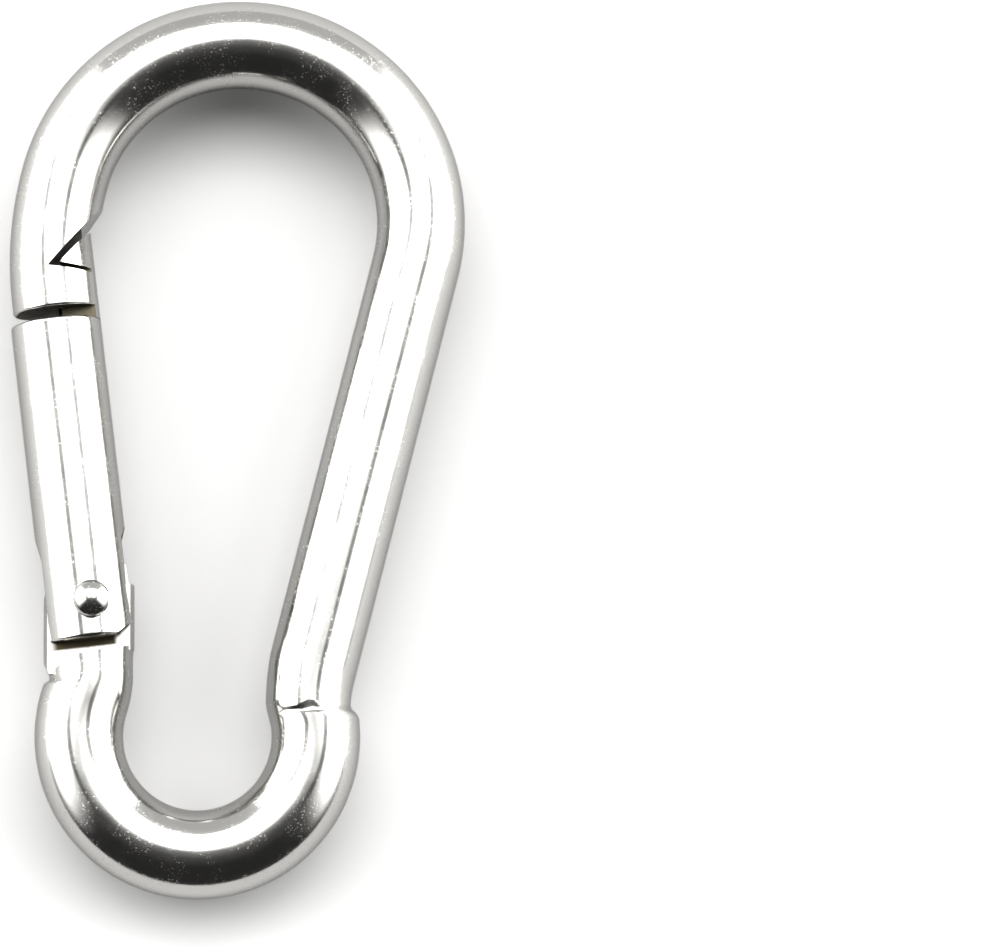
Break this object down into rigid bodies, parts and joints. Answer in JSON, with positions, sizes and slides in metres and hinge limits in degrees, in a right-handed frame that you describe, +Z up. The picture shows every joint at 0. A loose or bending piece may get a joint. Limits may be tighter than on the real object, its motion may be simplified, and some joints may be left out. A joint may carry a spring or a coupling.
{
  "type": "spring snap hook",
  "caption": "Pear-shaped snap hook of bent round bar with a riveted spring gate that opens inwards and latches into a notch in the nose.",
  "frame": {"origin": "middle of the hook's outline, on the surface that it lies on", "axes": "+Y along the hook from the toe bow to the crown bow, +X from the gate to the plain arm, +Z up out of the flat hook"},
  "size_m": [0.0404, 0.08, 0.0107],
  "materials": {
    "polished_bar": "mirror polished stainless steel",
    "rivet_steel": "mirror polished stainless steel",
    "spring_steel": "drawn stainless spring wire"
  },
  "bodies": {
    "hook": {"hook_body": "polished_bar"},
    "gate": {"gate": "polished_bar", "pivot_rivet": "rivet_steel", "gate_spring": "spring_steel"},
    "plunger": {"spring_plunger": "spring_steel"}
  },
  "joints": [
    {"name": "gate_swing", "type": "hinge", "parent": "hook", "child": "gate", "pos_m": [-0.01274, -0.014, 0.00535], "axis": [0, 0, -1], "range_deg": [0, 43], "stiffness_Nm_per_rad": 0.1, "springref_deg": -34.38},
    {"name": "plunger_slide", "type": "slide", "parent": "gate", "child": "plunger", "axis": [-0.1159, 0.9933, 0], "range_m": [0, 0.00091], "deforming": ["gate_spring"]}
  ],
  "couplings": [
    {"joint": "plunger_slide", "follows": "gate_swing", "m_per_rad": 0.0011992}
  ]
}
